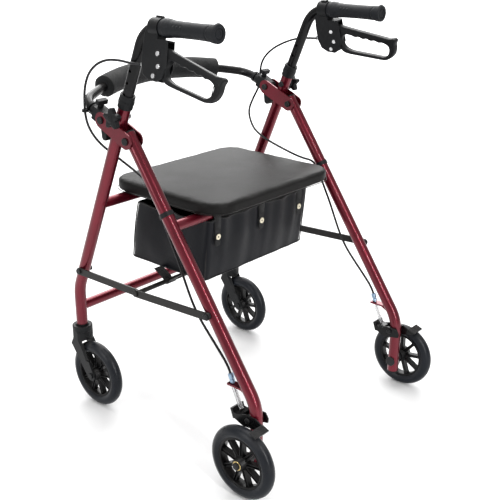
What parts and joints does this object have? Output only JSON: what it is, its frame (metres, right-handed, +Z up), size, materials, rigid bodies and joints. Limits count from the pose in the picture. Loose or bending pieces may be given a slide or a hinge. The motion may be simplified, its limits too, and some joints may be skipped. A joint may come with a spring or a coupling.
{
  "type": "rollator walker",
  "caption": "Folding wheeled walker with a padded lift-up seat, under-seat bag, padded backrest bow, height-adjustable handles with loop brakes, and swivelling front wheels.",
  "frame": {"origin": "centre of the footprint, on the floor that the wheels stand on", "axes": "+Y the way the walker is pushed, towards the swivelling wheels; +X to the user's right; +Z up"},
  "size_m": [0.6256, 0.6243, 0.8794],
  "materials": {
    "frame_red": "metallic wine-red powder coat",
    "black_steel": "satin black",
    "black_plastic": "satin black moulding",
    "grip_rubber": "soft matte",
    "bolt_black": "black oxide",
    "rivet": "bright",
    "zinc": "blue zinc",
    "seat_vinyl": "grained vinyl",
    "board": "moulded board",
    "nylon": "satin woven nylon",
    "webbing": "woven webbing",
    "foam": "closed-cell foam",
    "snap": "cream",
    "tyre": "smooth",
    "cable": "satin sleeve"
  },
  "bodies": {
    "root": {"front_leg_left": "frame_red", "front_leg_right": "frame_red", "front_seat_tube": "frame_red", "lower_cross_tube": "frame_red", "bracket_plates": "frame_red", "leg_collars": "black_plastic", "frame_bolts": "bolt_black", "seat_bag": "nylon", "brake_cable_left": "cable", "brake_cable_right": "cable"},
    "rear_frame": {"rear_leg_left": "frame_red", "rear_leg_right": "frame_red", "rear_seat_tube": "frame_red", "leg_plugs": "black_plastic", "cable_clips": "black_plastic", "cable_stops": "frame_red", "barrel_adjusters": "zinc", "rear_axle_bolts": "bolt_black", "brake_springs": "zinc", "bag_tabs": "webbing", "bag_snaps": "snap"},
    "front_struts": {"front_struts": "black_steel", "cross_rod": "black_steel", "pull_strap": "webbing"},
    "rear_struts": {"rear_struts": "black_steel", "strut_end_bolts": "bolt_black"},
    "seat": {"seat_cushion": "seat_vinyl", "seat_board": "board", "seat_hinge_clips": "black_plastic"},
    "backrest": {"backrest_tube": "black_steel", "backrest_foam": "foam", "backrest_sockets": "black_plastic", "cable_rings": "black_plastic"},
    "lock_knob_left": {"lock_knob_left": "black_plastic"},
    "handle_left": {"handle_tube_left": "black_steel", "grip_left": "grip_rubber", "brake_housing_left": "black_plastic", "housing_rivets_left": "rivet"},
    "lever_left": {"brake_lever_left": "black_plastic"},
    "height_knob_left": {"height_knob_left": "black_plastic"},
    "brake_arm_left": {"brake_arm_left": "black_steel"},
    "rear_wheel_left": {"rear_rim_left": "black_plastic", "rear_tyre_left": "tyre"},
    "caster_left": {"caster_fork_left": "black_plastic"},
    "front_wheel_left": {"front_rim_left": "black_plastic", "front_tyre_left": "tyre"},
    "lock_knob_right": {"lock_knob_right": "black_plastic"},
    "handle_right": {"handle_tube_right": "black_steel", "grip_right": "grip_rubber", "brake_housing_right": "black_plastic", "housing_rivets_right": "rivet"},
    "lever_right": {"brake_lever_right": "black_plastic"},
    "height_knob_right": {"height_knob_right": "black_plastic"},
    "brake_arm_right": {"brake_arm_right": "black_steel"},
    "rear_wheel_right": {"rear_rim_right": "black_plastic", "rear_tyre_right": "tyre"},
    "caster_right": {"caster_fork_right": "black_plastic"},
    "front_wheel_right": {"front_rim_right": "black_plastic", "front_tyre_right": "tyre"}
  },
  "joints": [
    {"name": "fold", "type": "hinge", "parent": "root", "child": "rear_frame", "pos_m": [0, 0.08753, 0.6401], "axis": [1, 0, 0], "range_deg": [0, 34], "deforming": ["seat_bag", "brake_cable_left", "brake_cable_right"]},
    {"name": "front_strut_swing", "type": "hinge", "parent": "root", "child": "front_struts", "pos_m": [0, 0.25823, 0.3245], "axis": [1, 0, 0], "range_deg": [-46.51, 0], "deforming": ["pull_strap"]},
    {"name": "rear_strut_swing", "type": "hinge", "parent": "front_struts", "child": "rear_struts", "pos_m": [0, 0.07243, 0.3279], "axis": [1, 0, 0], "range_deg": [0, 124.26]},
    {"name": "seat_lift", "type": "hinge", "parent": "root", "child": "seat", "pos_m": [0, 0.18903, 0.49], "axis": [-1, 0, 0], "range_deg": [0, 88]},
    {"name": "backrest_tilt", "type": "hinge", "parent": "root", "child": "backrest", "pos_m": [0, 0.15743, 0.6713], "axis": [1, 0, 0], "range_deg": [0, 60]},
    {"name": "lock_pull_left", "type": "slide", "parent": "backrest", "child": "lock_knob_left", "axis": [0, -0.3746, 0.9272], "range_m": [0, 0.006], "stiffness_N_per_m": 300, "springref_m": -0.004},
    {"name": "handle_height_left", "type": "slide", "parent": "root", "child": "handle_left", "axis": [0, -0.3872, 0.922], "range_m": [-0.05, 0.05]},
    {"name": "lever_squeeze_left", "type": "hinge", "parent": "handle_left", "child": "lever_left", "pos_m": [-0.26174, -0.01597, 0.81427], "axis": [-0.9724, 0, 0.2334], "range_deg": [0, 19.5], "stiffness_Nm_per_rad": 0.6, "springref_deg": -20.05},
    {"name": "height_knob_turn_left", "type": "hinge", "parent": "root", "child": "height_knob_left", "pos_m": [-0.251, 0.10993, 0.683], "axis": [1, 0, 0], "continuous": true},
    {"name": "brake_arm_swing_left", "type": "hinge", "parent": "rear_frame", "child": "brake_arm_left", "pos_m": [-0.251, -0.22797, 0.1528], "axis": [1, 0, 0], "range_deg": [0, 4.5], "deforming": ["brake_springs"]},
    {"name": "rear_wheel_spin_left", "type": "hinge", "parent": "rear_frame", "child": "rear_wheel_left", "pos_m": [-0.29, -0.23597, 0.0762], "axis": [1, 0, 0], "continuous": true},
    {"name": "caster_swivel_left", "type": "hinge", "parent": "root", "child": "caster_left", "pos_m": [-0.251, 0.28103, 0.185], "axis": [0, 0, 1], "continuous": true},
    {"name": "front_wheel_spin_left", "type": "hinge", "parent": "caster_left", "child": "front_wheel_left", "pos_m": [-0.251, 0.23503, 0.0762], "axis": [1, 0, 0], "continuous": true},
    {"name": "lock_pull_right", "type": "slide", "parent": "backrest", "child": "lock_knob_right", "axis": [0, -0.3746, 0.9272], "range_m": [0, 0.006], "stiffness_N_per_m": 300, "springref_m": -0.004},
    {"name": "handle_height_right", "type": "slide", "parent": "root", "child": "handle_right", "axis": [0, -0.3872, 0.922], "range_m": [-0.05, 0.05]},
    {"name": "lever_squeeze_right", "type": "hinge", "parent": "handle_right", "child": "lever_right", "pos_m": [0.26174, -0.01597, 0.81427], "axis": [-0.9724, 0, -0.2334], "range_deg": [0, 12.5], "stiffness_Nm_per_rad": 0.6, "springref_deg": -20.05},
    {"name": "height_knob_turn_right", "type": "hinge", "parent": "root", "child": "height_knob_right", "pos_m": [0.251, 0.10993, 0.683], "axis": [1, 0, 0], "continuous": true},
    {"name": "brake_arm_swing_right", "type": "hinge", "parent": "rear_frame", "child": "brake_arm_right", "pos_m": [0.251, -0.22797, 0.1528], "axis": [1, 0, 0], "range_deg": [0, 4.5]},
    {"name": "rear_wheel_spin_right", "type": "hinge", "parent": "rear_frame", "child": "rear_wheel_right", "pos_m": [0.29, -0.23597, 0.0762], "axis": [1, 0, 0], "continuous": true},
    {"name": "caster_swivel_right", "type": "hinge", "parent": "root", "child": "caster_right", "pos_m": [0.251, 0.28103, 0.185], "axis": [0, 0, 1], "continuous": true},
    {"name": "front_wheel_spin_right", "type": "hinge", "parent": "caster_right", "child": "front_wheel_right", "pos_m": [0.251, 0.23503, 0.0762], "axis": [1, 0, 0], "continuous": true}
  ],
  "couplings": [
    {"joint": "front_strut_swing", "follows": "fold", "ratio": -1.3676},
    {"joint": "rear_strut_swing", "follows": "fold", "ratio": 3.6543},
    {"joint": "brake_arm_swing_left", "follows": "lever_squeeze_left", "ratio": 0.2303},
    {"joint": "brake_arm_swing_right", "follows": "lever_squeeze_right", "ratio": 0.3595}
  ]
}
